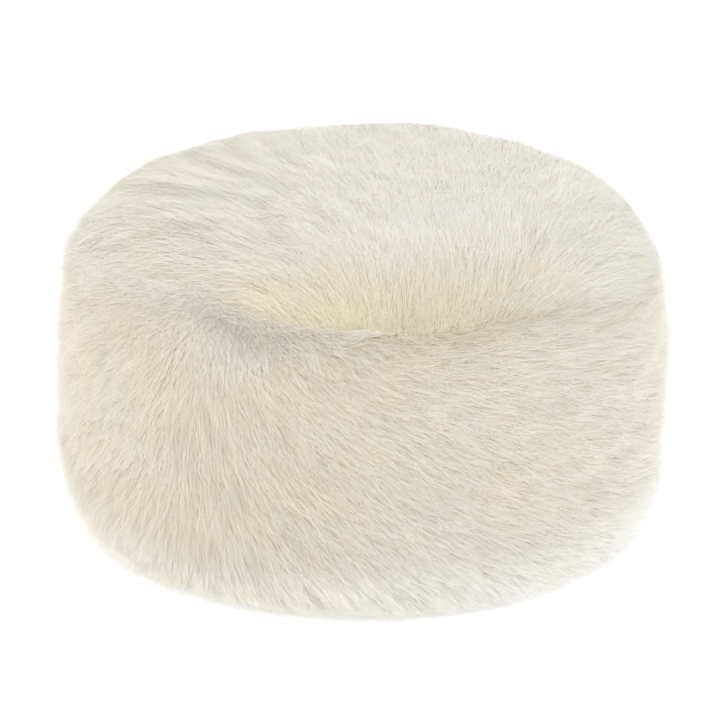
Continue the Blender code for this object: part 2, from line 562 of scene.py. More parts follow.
@dataclass(frozen=True)
class Pile:
    """One layer of strands, and how it grows.

    Attributes:
        name: Name of the layer.
        part: The part that carries them.
        pieces: Number of pieces that the layer is cut into round the hat.
        strands: Number of strands.
        points: Number of points along a strand.
        length: Length of a strand along the surface.
        seed: Seed of the random draws.
        root_depth: Depth of the roots under the surface.
        lie: How early a strand bends over; more lies flatter.
        width: Width of a strand at its root.
        clump: Distance between the middles of the tufts.
        pull: How far the tips of a tuft draw together.
        tangle: Spread of the strands' headings, in radians.
        curl: Spread of their further turn along their length, in radians.
        rise: How far the tips stand above the surface.
        stray: Mean height that the guard hairs stand out by.
        swirl: How far whole tufts turn away from the comb, in radians.
        fine_share: Share of the strands that are long fine guard hairs.
        seam_shade_reach: Distance from the front of the seam over which the strands keep the darker,
        yellower colour of their roots: their own root colour, and painted shade in the crease.
        pale: How much further than the rest of the pile they go to the colour of the tips: paler tips
        of their own, and painted light that lifts the shade of the crease.
        patch: Bearing, spread in radians and spread along the arc of a patch at the seam that
            the strands grow in, or nothing where they grow all over the part.
    """

    name: str
    part: Part
    pieces: int
    strands: int
    points: int
    length: float
    seed: int
    root_depth: float = 4.2 * MM
    lie: float = 1.6
    width: float = 0.28 * MM
    clump: float = 6.5 * MM
    pull: float = 0.4
    tangle: float = 0.17
    curl: float = 0.22
    rise: float = -0.9 * MM
    stray: float = 2.8 * MM
    swirl: float = 0.12
    fine_share: float = 0.48
    seam_shade_reach: float = 9 * MM
    # Painted light in part: a paler colour that lifts the shade of the crease, besides the tufts' own paler
    # tips.
    pale: float = 0.0
    patch: tuple[float, float, float] | None = None

    def build(self, maker: PileMaker, finish: bpy.types.Material) -> None:
        """Grows the layer and adds it, as a piece for each stretch round the hat.

        Args:
            maker: Grows the strands.
            finish: The material of the strands.
        """
        strands = maker.grow(self)
        share = wrapped(strands.bearings) / math.tau + 0.5
        stretch = np.floor(share * self.pieces).astype(int) % self.pieces
        for index in range(self.pieces):
            name = f"{self.name}_{index + 1}"
            mesh = strands.chosen(stretch == index).mesh(name, self.seed + index)
            add_fur(self.part, name, mesh, finish)


@dataclass
class Sprouts:
    """Where the strands of a layer are rooted, and how each one leaves the comb.

    Attributes:
        bearing: Bearing of each root.
        arc: Arc length of each root.
        bend: Turn of each strand away from the comb, in radians.
        curl: Further turn of each strand along its length, in radians.
        length: Length of each strand.
    """

    bearing: np.ndarray
    arc: np.ndarray
    bend: np.ndarray
    curl: np.ndarray
    length: np.ndarray


class Tufts:
    """Middles of the tufts that the strands draw together in, scattered on a jittered grid."""

    JITTER = (0.12, 0.88)

    def __init__(
        self, size: float, girth: float, reach: tuple[float, float], random: np.random.Generator
    ) -> None:
        """Scatters the middles.

        Args:
            size: Distance between neighbouring middles.
            girth: Length of the grid's first side, or 0 where it doesn't close on itself.
            reach: Lowest and highest place along both sides, or along the second one.
            random: Source of the random draws.
        """
        self.closed = girth > 0
        self.low = np.array([0.0 if self.closed else reach[0], reach[0]])
        tall = reach[1] - reach[0]
        wide = girth if self.closed else tall
        self.counts = np.array([max(1, round(wide / size)), max(1, round(tall / size))])
        self.cell = np.array([wide / self.counts[0], tall / self.counts[1]])
        self.jitter = random.uniform(*self.JITTER, (*self.counts, 2))
        self.traits = random.normal(0, 1, (*self.counts, 3))

    def nearest(self, places: np.ndarray) -> tuple[np.ndarray, np.ndarray]:
        """The offset to each place's own tuft, and that tuft's traits.

        Args:
            places: Places on the grid, one in each row.

        Returns:
            Offsets to the middle of the nearest tuft, and three random traits of it.
        """
        own = np.floor((places - self.low) / self.cell).astype(int)
        best = np.full(len(places), np.inf)
        offset = np.zeros_like(places)
        traits = np.zeros((len(places), 3))
        for right in (-1, 0, 1):
            for up in (-1, 0, 1):
                cell = own + (right, up)
                index = np.clip(cell, 0, self.counts - 1)
                if self.closed:
                    index[:, 0] = cell[:, 0] % self.counts[0]
                inner = self.jitter[index[:, 0], index[:, 1]]
                gap = self.low + (cell + inner) * self.cell - places
                far = (gap**2).sum(1)
                nearer = far < best
                best[nearer] = far[nearer]
                offset[nearer] = gap[nearer]
                traits[nearer] = self.traits[index[nearer, 0], index[nearer, 1]]
        return offset, traits


@dataclass(frozen=True)
class PileMaker:
    """Grows the strands of crown and band.

    Attributes:
        surface: The outside of the fur.
        comb: The way that the pile is brushed.
        root_margin: How far past the seam's level the roots of a part are sought.
        hem_margin: Distance from the lowest roots to the end of the outline.
        seam_reach: Distance from the seam over which it bears on the strands.
        seam_crowding: How much denser the roots stand at the seam.
        seam_shortening: How much shorter the strands are at the seam.
        seam_shallowing: How much shallower the roots are at the seam.
        seam_overlap: How far the strands of the band reach over the seam.
        seam_drape: How much of their way over the seam the strands of the crown keep.
        length_spread: Spread of the lengths, as a share of the length.
        length_limits: Shortest and longest strand, as shares of the length.
        tuft_margin: How far the tufts go on past the part.
        gathering: How late along the strands a tuft draws together.
        ragged: How far the hem's ends differ in length.
        flat_middle: Distance from the crown's middle where the guard hairs start to stand up.
        flat_fade: Distance over which they do.
        flat_stray: Share of their height that they keep in the crown's middle.
        stray_limit: Tallest guard hair, as a multiple of the mean height.
        tip_spread: Spread of the heights of the other tips.
        tuft_rise: Spread of the heights of whole tufts.
        tip_lift: How late along a strand its tip lifts.
        hem_edge: Distance from the hem's edge to the end of the outline.
        hem_above: Distance above the edge over which the hem bears on the strands.
        hem_strength: How much it bears on them at the edge, before that is held to 1.
        hem_spread: Least and most that a tip stands out at the hem, in millimetres.
        wobble: Spread of a strand's points about its path.
        lowest_tilt: Lowest upward part of a normal, which keeps the hem lit.
        fine_width: Width of a guard hair, as a share of the width.
        width_limits: Narrowest and widest of the other strands, as shares of the width.
        tuft_shade: Spread of the shades of whole tufts.
        strand_shade: Spread of the shades of single strands.
        seam_shade_bearing: Bearing of the stretch of the seam where shade is painted on the strands.
        seam_shade_spread: Spread of that stretch, in radians.
        seam_painted_shade: How much less ripe, so darker and yellower, the strands are there: their
            roots' own colour carried up them, and painted shade in the crease.
        painted_hem_light: How much riper, so paler, the strands are at the hem: painted light, as if
        lit from the bright floor.
    """

    surface: Surface
    comb: Comb
    root_margin: float = 16 * MM
    hem_margin: float = 13 * MM
    seam_reach: float = 9 * MM
    seam_crowding: float = 1.5
    seam_shortening: float = 0.62
    seam_shallowing: float = 0.35
    seam_overlap: float = 2 * MM
    seam_drape: float = 0.45
    length_spread: float = 0.16
    length_limits: tuple[float, float] = (0.5, 1.5)
    tuft_margin: float = 20 * MM
    gathering: float = 1.4
    ragged: float = 3 * MM
    flat_middle: float = 60 * MM
    flat_fade: float = 45 * MM
    flat_stray: float = 0.2
    stray_limit: float = 1.9
    tip_spread: float = 0.6 * MM
    tuft_rise: float = 0.3 * MM
    tip_lift: float = 1.5
    hem_edge: float = 14 * MM
    hem_above: float = 34 * MM
    hem_strength: float = 1.25
    hem_spread: tuple[float, float] = (0.3, 3.4)
    wobble: float = 0.22 * MM
    lowest_tilt: float = -0.1
    fine_width: float = 0.5
    width_limits: tuple[float, float] = (0.75, 1.15)
    tuft_shade: float = 0.22
    strand_shade: float = 0.14
    # Painted shade: near the front of the seam the strands keep more of their roots' darker, yellower
    # colour.
    seam_shade_bearing: float = 0.06
    seam_shade_spread: float = 0.6
    seam_painted_shade: float = 0.7
    # Painted light: the strands at the hem go paler, as if lit from the bright floor.
    painted_hem_light: float = 1.2

    @property
    def girth(self) -> float:
        """Way round the hat at its widest, as if it were round."""
        return math.tau * float(self.surface.radius.max())

    def at_hem(self, arc: np.ndarray) -> np.ndarray:
        """How much the hem bears on a strand, from 0 a way above it to 1 at its edge."""
        return smooth_step(self.hem_strength - (self.surface.length - self.hem_edge - arc) / self.hem_above)

    def roots(self, pile: Pile, random: np.random.Generator) -> tuple[np.ndarray, np.ndarray]:
        """Bearings and arc lengths of roots, spread evenly over the part's skin.

        Args:
            pile: The part and the number of its strands.
            random: Source of the random draws.

        Returns:
            Bearings and arc lengths.
        """
        surface = self.surface
        if pile.patch:
            middle, aside, spread = pile.patch
            bearing = random.normal(middle, aside, pile.strands)
            return bearing, surface.seam_at(bearing) + random.normal(0, spread, pile.strands)
        low, high = 0.0, surface.seam + self.root_margin
        if pile.part is Part.BAND:
            low, high = surface.seam - self.root_margin, surface.length - self.hem_margin
        inside = (surface.arc >= low) & (surface.arc <= high)
        arcs = surface.arc[inside]
        crowding = 1 + self.seam_crowding * bell(arcs - surface.seam, self.seam_reach)
        total = np.cumsum(surface.radius[inside] * crowding)
        arc = np.interp(random.random(pile.strands) * total[-1], total, arcs)
        bearing = random.uniform(-math.pi, math.pi, pile.strands)
        past = arc - surface.seam_at(bearing)
        past = past + random.normal(0, 1, len(past)) * surface.crease.mingling(bearing)
        own_side = past <= 0 if pile.part is Part.CROWN else past > 0
        return bearing[own_side], arc[own_side]

    def grow(self, pile: Pile) -> Strands:
        """The strands of one layer.

        Args:
            pile: How they grow.

        Returns:
            Their centre lines, widths and shades.
        """
        random = np.random.default_rng(pile.seed)
        bearing, arc = self.roots(pile, random)
        count = len(bearing)
        fine = random.random(count) < pile.fine_share
        bend, curl = random.normal(0, pile.tangle, count), random.normal(0, pile.curl, count)
        past = arc - self.surface.seam_at(bearing)
        upright = bell(past, self.seam_reach)
        varied = np.clip(random.normal(1, self.length_spread, count), *self.length_limits)
        length = pile.length * varied * (1 - self.seam_shortening * upright)
        paths = self.crown_paths if pile.part is Part.CROWN else self.band_paths
        bearings, arcs, traits = paths(pile, Sprouts(bearing, arc, bend, curl, length), random)

        share = np.linspace(0, 1, pile.points)
        rim = smooth_step((arc - self.flat_middle) / self.flat_fade)
        strayed = np.minimum(random.exponential(1, count), self.stray_limit) * pile.stray
        strayed = strayed * (self.flat_stray + (1 - self.flat_stray) * rim)
        tip = np.where(fine, strayed, pile.rise + random.normal(0, self.tip_spread, count))
        hem_tip = self.at_hem(arcs[:, -1]) * random.uniform(*self.hem_spread, count) * MM
        tip += self.tuft_rise * traits[:, 1] + hem_tip
        root = pile.root_depth * (1 - self.seam_shallowing * upright)
        depth = root[:, None] * (1 - share) ** pile.lie - tip[:, None] * share**self.tip_lift
        lines = self.surface.place(bearings, arcs, depth)
        inner = (share * (1 - share) * 4)[None, :, None]
        lines = lines + random.normal(0, self.wobble, lines.shape) * inner
        lines[..., 2] = np.maximum(lines[..., 2], LOWEST)

        normals = self.surface.frame_at(bearings, arcs)[1]
        normals[..., 2] = np.maximum(normals[..., 2], self.lowest_tilt)
        coarse = random.uniform(*self.width_limits, count)
        width = pile.width * np.where(fine, self.fine_width, coarse)
        shade = 0.5 + self.tuft_shade * traits[:, 2] + random.normal(0, self.strand_shade, count)
        # Painted shade: strands near the front of the seam keep more of their roots' darker, yellower
        # colour.
        front = bell(wrapped(bearing - self.seam_shade_bearing), self.seam_shade_spread)
        painted_shade = self.seam_painted_shade * front * bell(past, pile.seam_shade_reach)
        # Painted light: riper, paler strands at the hem, as if lit from the floor.
        ripeness = 1 + pile.pale - painted_shade + self.painted_hem_light * self.at_hem(arc)
        half_widths = width[:, None] / 2 * taper(share)
        return Strands(lines, unit(normals), half_widths, np.clip(shade, 0, 1), ripeness, bearing)

    def band_paths(
        self, pile: Pile, sprouts: Sprouts, random: np.random.Generator
    ) -> tuple[np.ndarray, np.ndarray, np.ndarray]:
        """Where the strands of the band run on the surface.

        Args:
            pile: How they grow.
            sprouts: Their roots and turns.
            random: Source of the random draws.

        Returns:
            Bearings and arc lengths of every point, and the traits of each strand's tuft.
        """
        surface = self.surface
        reach = (surface.seam - self.tuft_margin, surface.length)
        per_radian = self.girth / math.tau
        places = np.stack([(sprouts.bearing + math.pi) * per_radian, sprouts.arc], axis=1)
        offset, traits = Tufts(pile.clump, self.girth, reach, random).nearest(places)
        stride = sprouts.length / (pile.points - 1)
        bearings, arcs = [sprouts.bearing], [sprouts.arc]
        for step in range(1, pile.points):
            here, down = bearings[-1], arcs[-1]
            heading = self.comb.band_heading(here, down) + sprouts.bend + pile.swirl * traits[:, 0]
            turning = sprouts.curl + pile.swirl * traits[:, 1]
            heading = heading + turning * (step - 1) / pile.points
            bearings.append(here + stride * np.sin(heading) / surface.radius_at(down))
            highest = surface.seam_at(bearings[-1]) - self.seam_overlap
            arcs.append(np.clip(down + stride * np.cos(heading), highest, surface.length - MM))
        share = (np.linspace(0, 1, pile.points) ** self.gathering)[None, :]
        pulled = np.stack(bearings, 1) + pile.pull * offset[:, :1] / per_radian * share
        down = np.stack(arcs, 1) + pile.pull * offset[:, 1:] * share
        short = MM + self.ragged * (1 + np.tanh(traits[:, 2:]))
        return pulled, np.clip(down, 0, surface.length - short), traits

    def crown_paths(
        self, pile: Pile, sprouts: Sprouts, random: np.random.Generator
    ) -> tuple[np.ndarray, np.ndarray, np.ndarray]:
        """Where the strands of the crown run on the surface, stepped on its unrolled disc.

        Args:
            pile: How they grow.
            sprouts: Their roots and turns.
            random: Source of the random draws.

        Returns:
            Bearings and arc lengths of every point, and the traits of each strand's tuft.
        """
        surface = self.surface
        sides = [sprouts.arc * np.sin(sprouts.bearing), -sprouts.arc * np.cos(sprouts.bearing)]
        places = [np.stack(sides, axis=1)]
        edge = surface.seam + self.tuft_margin
        offset, traits = Tufts(pile.clump, 0.0, (-edge, edge), random).nearest(places[0])
        stride = (sprouts.length / (pile.points - 1))[:, None]
        for step in range(1, pile.points):
            right, back = self.comb.crown_direction(places[-1]).T
            turn = sprouts.bend + pile.swirl * traits[:, 0] + sprouts.curl * (step - 1) / pile.points
            sine, cosine = np.sin(turn), np.cos(turn)
            turned = np.stack([right * cosine - back * sine, right * sine + back * cosine], axis=1)
            places.append(places[-1] + turned * stride)
        share = (np.linspace(0, 1, pile.points) ** self.gathering)[None, :, None]
        path = np.stack(places, 1) + pile.pull * offset[:, None, :] * share
        bearings = np.arctan2(path[..., 0], -path[..., 1])
        arcs = np.linalg.norm(path, axis=-1)
        over = surface.seam_at(bearings) + 1 * MM
        arcs = np.where(arcs > over, over + self.seam_drape * (arcs - over), arcs)
        return bearings, arcs, traits


@dataclass(frozen=True)
class Underfur:
    """The dense woolly layer that the strands stand in, as one closed turned body for each part.

    Attributes:
        part: The part that carries it.
        inside: Half width of the hollow that it leaves for the backing.
        inside_oval: Depth of that hollow front to back as a multiple of its width.
        roof: Height of its inner edge: the crown's underside or the band's top.
        depth: Depth of its outside under the surface of the fur.
        seam_depth: How much deeper it lies at the seam.
        seam_reach: Distance from the seam over which it does.
        hem_depth: How much deeper it lies at the hem.
        hem_reach: Distance from the end of the outline over which it does.
        hem_margin: Distance from its lowest ring to the end of the outline.
        sway_reach: Distance from the seam over which it follows the seam's sway.
        gap: Half the gap between the two bodies at the seam.
        middle: Distance of the crown's first ring from its middle.
        bearings: Number of steps round the hat.
        step: Distance between the rings along the arc.
    """

    part: Part
    inside: float
    inside_oval: float
    roof: float
    depth: float = 1.8 * MM
    seam_depth: float = 0.9 * MM
    seam_reach: float = 9 * MM
    hem_depth: float = 5 * MM
    hem_reach: float = 40 * MM
    hem_margin: float = 12 * MM
    sway_reach: float = 30 * MM
    gap: float = 0.3 * MM
    middle: float = 1 * MM
    bearings: int = 180
    step: float = 4.0 * MM

    def outside(self, surface: Surface, bearing: np.ndarray) -> np.ndarray:
        """Rings of points on the outside of the body, from the top down.

        Args:
            surface: The outside of the fur.
            bearing: Bearings of the points of a ring.

        Returns:
            Rings of points.
        """
        low, high = self.middle, surface.seam
        if self.part is Part.BAND:
            low, high = surface.seam, surface.length - self.hem_margin
        arcs = np.linspace(low, high, max(3, round((high - low) / self.step)))
        turn, arc = np.meshgrid(bearing, arcs)
        past = arc - surface.seam
        at_hem = smooth_step(1 - (surface.length - arc) / self.hem_reach)
        sunk = self.depth + self.seam_depth * bell(past, self.seam_reach) + self.hem_depth * at_hem
        follow = smooth_step(1 - np.abs(past) / self.sway_reach)
        swayed = arc + surface.crease.sway(turn) * follow
        return surface.place(turn, np.clip(swayed, 0, surface.length), sunk)

    def mesh(self, surface: Surface) -> bpy.types.Mesh:
        """The closed body.

        Args:
            surface: The outside of the fur.

        Returns:
            A mesh of rings of quads, closed through its hollow or at the axis.
        """
        bearing = np.linspace(-math.pi, math.pi, self.bearings, endpoint=False)
        outer = self.outside(surface, bearing)
        right, back = self.inside * np.sin(bearing), -self.inside * self.inside_oval * np.cos(bearing)
        inner = np.stack([right, back, np.zeros_like(right)], 1)
        gap = np.array([0, 0, self.gap])
        if self.part is Part.CROWN:
            rings = [*outer[:-1], outer[-1] + gap, self.levelled(inner, self.roof + self.gap)]
            return self.joined(np.array(rings), True)
        top = self.levelled(inner, self.roof - self.gap)
        foot, bottom = self.levelled(outer[-1], LOWEST), self.levelled(inner, LOWEST)
        return self.joined(np.array([top, outer[0] - gap, *outer[1:], foot, bottom]), False)

    def levelled(self, ring: np.ndarray, height: float) -> np.ndarray:
        """A copy of a ring, all at one height."""
        return np.column_stack([ring[:, :2], np.full(len(ring), height)])

    def joined(self, rings: np.ndarray, capped: bool) -> bpy.types.Mesh:
        """Rings joined by quads, from ring to ring.

        Args:
            rings: Points of each ring.
            capped: True to close the first and last ring by a fan, False to join them together.

        Returns:
            The mesh.
        """
        count, steps = rings.shape[:2]
        places = rings.reshape(-1, 3)
        rows = np.arange(count - 1 if capped else count)
        ring, turn = np.meshgrid(rows, np.arange(steps), indexing="ij")
        this, after, beside = ring * steps, (ring + 1) % count * steps, (turn + 1) % steps
        quads = np.stack([this + turn, after + turn, after + beside, this + beside], axis=-1)
        faces = quads.reshape(-1, 4).tolist()
        if capped:
            first, last = len(places), (count - 1) * steps
            places = np.vstack([places, rings[0].mean(0), rings[-1].mean(0)])
            for index in range(steps):
                following = (index + 1) % steps
                faces.append([first, index, following])
                faces.append([first + 1, last + following, last + index])
        mesh = bpy.data.meshes.new(f"{self.part.value}_underfur")
        mesh.from_pydata(places.tolist(), [], faces)
        mesh.update()
        mesh.shade_smooth()
        mesh.set_sharp_from_angle(angle=math.radians(60))
        return mesh

    def build(self, surface: Surface, finish: bpy.types.Material) -> None:
        """Adds the body in its finish."""
        add_fur(self.part, f"{self.part.value}_underfur", self.mesh(surface), finish)


class Nodes:
    """A short way to write a material's nodes."""

    def __init__(self, name: str) -> None:
        """Makes the material, with only its output and its shader."""
        self.material = bpy.data.materials.new(name)
        self.material.use_nodes = True
        self.tree = self.material.node_tree
        self.shader = self.tree.nodes["Principled BSDF"]

    def feed(self, socket: bpy.types.NodeSocket, value: object) -> None:
        """Sets a socket to a value, or links it where the value is a socket itself.

        Args:
            socket: The input.
            value: A plain value or an output.
        """
        if isinstance(value, bpy.types.NodeSocket):
            self.tree.links.new(value, socket)
        else:
            socket.default_value = value

    def add(
        self, kind: str, inputs: dict[str | int, object] | None = None, **settings: object
    ) -> bpy.types.Node:
        """A node with some settings and inputs.

        Args:
            kind: Blender's name of the node's type.
            inputs: Values or sockets by input name or number.
            **settings: Values of the node's own properties.

        Returns:
            The node.
        """
        node = self.tree.nodes.new(kind)
        for key, value in settings.items():
            setattr(node, key, value)
        for key, value in (inputs or {}).items():
            self.feed(node.inputs[key], value)
        return node

    def math(self, operation: str, first: object, second: object = 0.0) -> bpy.types.NodeSocket:
        """The result of a Math node."""
        return self.add("ShaderNodeMath", {0: first, 1: second}, operation=operation).outputs[0]

    def place(self) -> bpy.types.NodeSocket:
        """The place in the object's own space."""
        return self.add("ShaderNodeTexCoord").outputs["Object"]

    def ramp(self, value: object, stops: tuple[tuple[float, Colour], ...]) -> bpy.types.NodeSocket:
        """The colour that a ramp gives for a value.

        Args:
            value: The socket that drives the ramp.
            stops: Positions and colours.

        Returns:
            The ramp's colour.
        """
        node = self.add("ShaderNodeValToRGB", {"Fac": value})
        elements = node.color_ramp.elements
        while len(elements) < len(stops):
            elements.new(0.5)
        for element, (position, colour) in zip(elements, stops):
            element.position = position
            element.color = (*colour, 1)
        return node.outputs["Color"]

    def mix(self, kind: str, share: float, first: object, second: object) -> bpy.types.NodeSocket:
        """Two colours mixed in one of Blender's ways.

        Args:
            kind: The blend type.
            share: How much of the second one counts.
            first: The first colour's socket.
            second: The second colour's socket.

        Returns:
            The mixed colour.
        """
        inputs = {0: share, 6: first, 7: second}
        node = self.add("ShaderNodeMix", data_type="RGBA", blend_type=kind)
        for key, value in inputs.items():
            self.feed(node.inputs[key], value)
        return node.outputs[2]

    def between(self, value: object, low: float, high: float) -> bpy.types.NodeSocket:
        """A value from 0 to 1, mapped to a range."""
        wanted = {"Value": value, "To Min": low, "To Max": high}
        return self.add("ShaderNodeMapRange", wanted).outputs["Result"]

    def noise(self, scale: float, detail: float = 2.0, roughness: float = 0.5) -> bpy.types.NodeSocket:
        """Noise over the object's own space."""
        wanted = {"Vector": self.place(), "Scale": scale, "Detail": detail, "Roughness": roughness}
        return self.add("ShaderNodeTexNoise", wanted).outputs["Fac"]

    def bump(self, height: object, strength: float, distance: float) -> bpy.types.NodeSocket:
        """The normal that a height map gives."""
        wanted = {"Height": height, "Strength": strength, "Distance": distance}
        return self.add("ShaderNodeBump", wanted).outputs["Normal"]

    def attribute(self, name: str) -> bpy.types.NodeSocket:
        """A number stored on the mesh."""
        return self.add("ShaderNodeAttribute", attribute_name=name).outputs["Fac"]

    def to_shader(self, **sockets: object) -> bpy.types.Material:
        """Feeds the shader.

        Args:
            **sockets: Values or sockets, by the shader's input names with underscores.

        Returns:
            The material.
        """
        for key, value in sockets.items():
            self.feed(self.shader.inputs[key.replace("_", " ")], value)
        return self.material


@dataclass(frozen=True)
class FurFinish:
    """Ivory fur: yellower at its roots and paler to its tips, in soft warm and cool patches.

    Attributes:
        name: Name of the material.
        root: Colour deep in the pile.
        middle: Colour half way along a strand.
        tip: Colour near the tips.
        end: Colour of the very ends.
        warm: Tint of the warm patches.
        cool: Tint of the cool patches.
        shade: Lowest and highest brightness of single strands.
        roughness: Lowest and highest roughness of single strands.
        patch_scale: Number of patches a metre.
        patch_range: Lowest and highest place of the patches between warm and cool.
        painted_sheen_lean: How fast the patches get cooler and whiter towards the wearer's left, a
        metre: painted sheen on that side.
    """

    name: str
    root: Colour
    middle: Colour
    tip: Colour
    end: Colour
    warm: Colour = (0.988, 0.964, 0.905)
    cool: Colour = (0.98, 0.988, 1.0)
    shade: tuple[float, float] = (0.93, 1.03)
    roughness: tuple[float, float] = (0.62, 0.8)
    patch_scale: float = 22.0
    patch_range: tuple[float, float] = (0.05, 0.95)
    # Painted sheen: the tint gets cooler and whiter towards the wearer's left.
    painted_sheen_lean: float = 1.6

    def tint(self, nodes: Nodes) -> bpy.types.NodeSocket:
        """The patchy tint, from warm to cool.

        Args:
            nodes: The nodes of the material.

        Returns:
            The tint's colour.
        """
        aside = nodes.add("ShaderNodeSeparateXYZ", {0: nodes.place()}).outputs["X"]
        low, high = self.patch_range
        patches = nodes.math("MULTIPLY", nodes.noise(self.patch_scale), high - low)
        patches = nodes.math("ADD", patches, low)
        # Painted sheen: the tint shifts cooler and whiter towards the wearer's left.
        painted_sheen_lean = nodes.math("ADD", nodes.math("MULTIPLY", aside, self.painted_sheen_lean), patches)
        return nodes.ramp(painted_sheen_lean, ((0.2, self.warm), (0.8, self.cool)))

    def strands(self) -> bpy.types.Material:
        """The material of the strands.

        Returns:
            The material, which reads the numbers stored on the strands.
        """
        nodes = Nodes(self.name)
        stops = ((0.1, self.root), (0.5, self.middle), (0.8, self.tip), (1.0, self.end))
        colour = nodes.ramp(nodes.attribute(ALONG), stops)
        colour = nodes.mix("MULTIPLY", 1.0, colour, self.tint(nodes))
        tone = nodes.attribute(TONE)
        return nodes.to_shader(
            Base_Color=nodes.mix("MULTIPLY", 1.0, colour, nodes.between(tone, *self.shade)),
            Roughness=nodes.between(tone, *self.roughness),
            Specular_IOR_Level=0.25,
            Sheen_Weight=0.4,
            Sheen_Roughness=0.45,
        )

    def underfur(self) -> bpy.types.Material:
        """The material of the dense layer under the strands.

        Returns:
            The material, with fine woolly fibres.
        """
        nodes = Nodes(f"{self.name}_underfur")
        fibres = nodes.noise(900.0, 3.0, 0.7)
        colour = nodes.ramp(fibres, ((0.3, self.root), (0.7, self.middle)))
        return nodes.to_shader(
            Base_Color=nodes.mix("MULTIPLY", 1.0, colour, self.tint(nodes)),
            Roughness=0.9,
            Normal=nodes.bump(fibres, 0.6, 1 * MM),
        )


@dataclass(frozen=True)
class KnitBacking:
    """The backing's plain machine knit, in columns of small V stitches.

    Attributes:
        girth: Half width of the wall, for the number of stitches round it.
        yarn: Colour of the yarn.
        gap: Colour between the stitches.
        stitch: Width of a stitch.
        row: Height of a row.
        slant: Rise of a stitch's legs, in rows.
        fuzz: Darkest and lightest grey of the yarn's fuzz.
    """

    girth: float
    yarn: Colour = (0.80, 0.75, 0.64)
    # Painted shade: the darker colour of the hollows between the stitches.
    gap: Colour = (0.50, 0.45, 0.35)
    stitch: float = 1.8 * MM
    row: float = 1.5 * MM
    slant: float = 1.1
    fuzz: tuple[float, float] = (0.4, 0.6)

    def stitches(self, nodes: Nodes) -> bpy.types.NodeSocket:
        """The relief of the stitches, by bearing and by the distance down from the crown's middle.

        Args:
            nodes: The nodes of the material.

        Returns:
            Height of the yarn, from 0 to 1.
        """
        axes = nodes.add("ShaderNodeSeparateXYZ", {0: nodes.place()}).outputs
        bearing = nodes.math("ARCTAN2", axes["X"], axes["Y"])
        round_hat = round(math.tau * self.girth / self.stitch)
        column = nodes.math("FRACT", nodes.math("MULTIPLY", bearing, round_hat / math.tau))
        side = nodes.math("ABSOLUTE", nodes.math("SUBTRACT", column, 0.5))
        flat = nodes.add("ShaderNodeCombineXYZ", {"X": axes["X"], "Y": axes["Y"]}).outputs[0]
        reach = nodes.add("ShaderNodeVectorMath", {0: flat}, operation="LENGTH").outputs["Value"]
        rows = nodes.math("DIVIDE", nodes.math("SUBTRACT", reach, axes["Z"]), self.row)
        slanted = nodes.math("SUBTRACT", rows, nodes.math("MULTIPLY", side, self.slant))
        wave = nodes.math("SINE", nodes.math("MULTIPLY", slanted, math.tau))
        across = nodes.math("SINE", nodes.math("MULTIPLY", side, math.tau))
        raised = nodes.math("ADD", nodes.math("MULTIPLY", wave, 0.5), 0.5)
        return nodes.math("MULTIPLY", raised, across)

    def material(self) -> bpy.types.Material:
        """The knitted material.

        Returns:
            The material, with its stitches and their fuzz.
        """
        nodes = Nodes("knit_backing")
        height = self.stitches(nodes)
        # Painted shade: the hollows of the stitches get the darker gap colour.
        colour = nodes.ramp(height, ((0.05, self.gap), (0.5, self.yarn)))
        dark, light = self.fuzz
        fuzz = nodes.ramp(nodes.noise(2500.0, 2.0, 0.7), ((0.3, (dark,) * 3), (0.7, (light,) * 3)))
        return nodes.to_shader(
            Base_Color=nodes.mix("SOFT_LIGHT", 0.35, colour, fuzz),
            Roughness=0.92,
            Sheen_Weight=0.3,
            Normal=nodes.bump(height, 0.8, 0.6 * MM),
        )

    def dress(self, nodes: dict[str, bpy.types.Object]) -> None:
        """Gives the backing of crown and band its knit.

        Args:
            nodes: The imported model's objects by name.
        """
        finish = self.material()
        for name in ("band_backing", "crown_backing"):
            slots = nodes[name].data.materials
            slots.clear()
            slots.append(finish)
            log.info("%s: dressed in knit", name)


CROWN_PILE = Pile(
    "crown_pile",
    Part.CROWN,
    pieces=2,
    strands=52_000,
    points=4,
    length=25 * MM,
    seed=11,
    root_depth=2.8 * MM,
    width=0.25 * MM,
    clump=8 * MM,
    pull=0.22,
    rise=-0.8 * MM,
    seam_shade_reach=20 * MM,
)
CROWN_COAT = replace(
    CROWN_PILE,
    name="crown_coat",
    pieces=1,
    strands=200_000,
    points=2,
    length=0.6 * CROWN_PILE.length,
    seed=31,
    root_depth=1.2 * MM,
    lie=1.0,
)
BAND_PILE = Pile("band_pile", Part.BAND, pieces=3, strands=126_000, points=3, length=15 * MM, seed=23)
BAND_COAT = replace(
    BAND_PILE,
    name="band_coat",
    pieces=2,
    strands=290_000,
    points=2,
    length=0.75 * BAND_PILE.length,
    seed=47,
    root_depth=1.5 * MM,
    lie=1.0,
)
SEAM_TUFTS = Pile(
    "seam_tufts",
    Part.BAND,
    pieces=1,
    strands=3_000,
    points=4,
    length=28 * MM,
    seed=59,
    clump=5.5 * MM,
    pull=0.55,
    curl=0.4,
    rise=1.6 * MM,
    swirl=0.4,
    seam_shade_reach=1 * MM,
    # Paler colour: partly the tufts' own paler tips, partly painted light against the crease's shade.
    pale=0.15,
    patch=(-0.24, 0.16, 2 * MM),
)
COWLICK = Pile(
    "cowlick",
    Part.BAND,
    pieces=1,
    strands=9_000,
    points=3,
    length=18 * MM,
    seed=67,
    root_depth=2 * MM,
    clump=4.5 * MM,
    tangle=0.7,
    rise=0.8 * MM,
    seam_shade_reach=5 * MM,
    # Paler colour: partly the strands' own paler tips, partly painted light against the crease's shade.
    pale=0.25,
    patch=(-0.52, 0.2, 5 * MM),
)


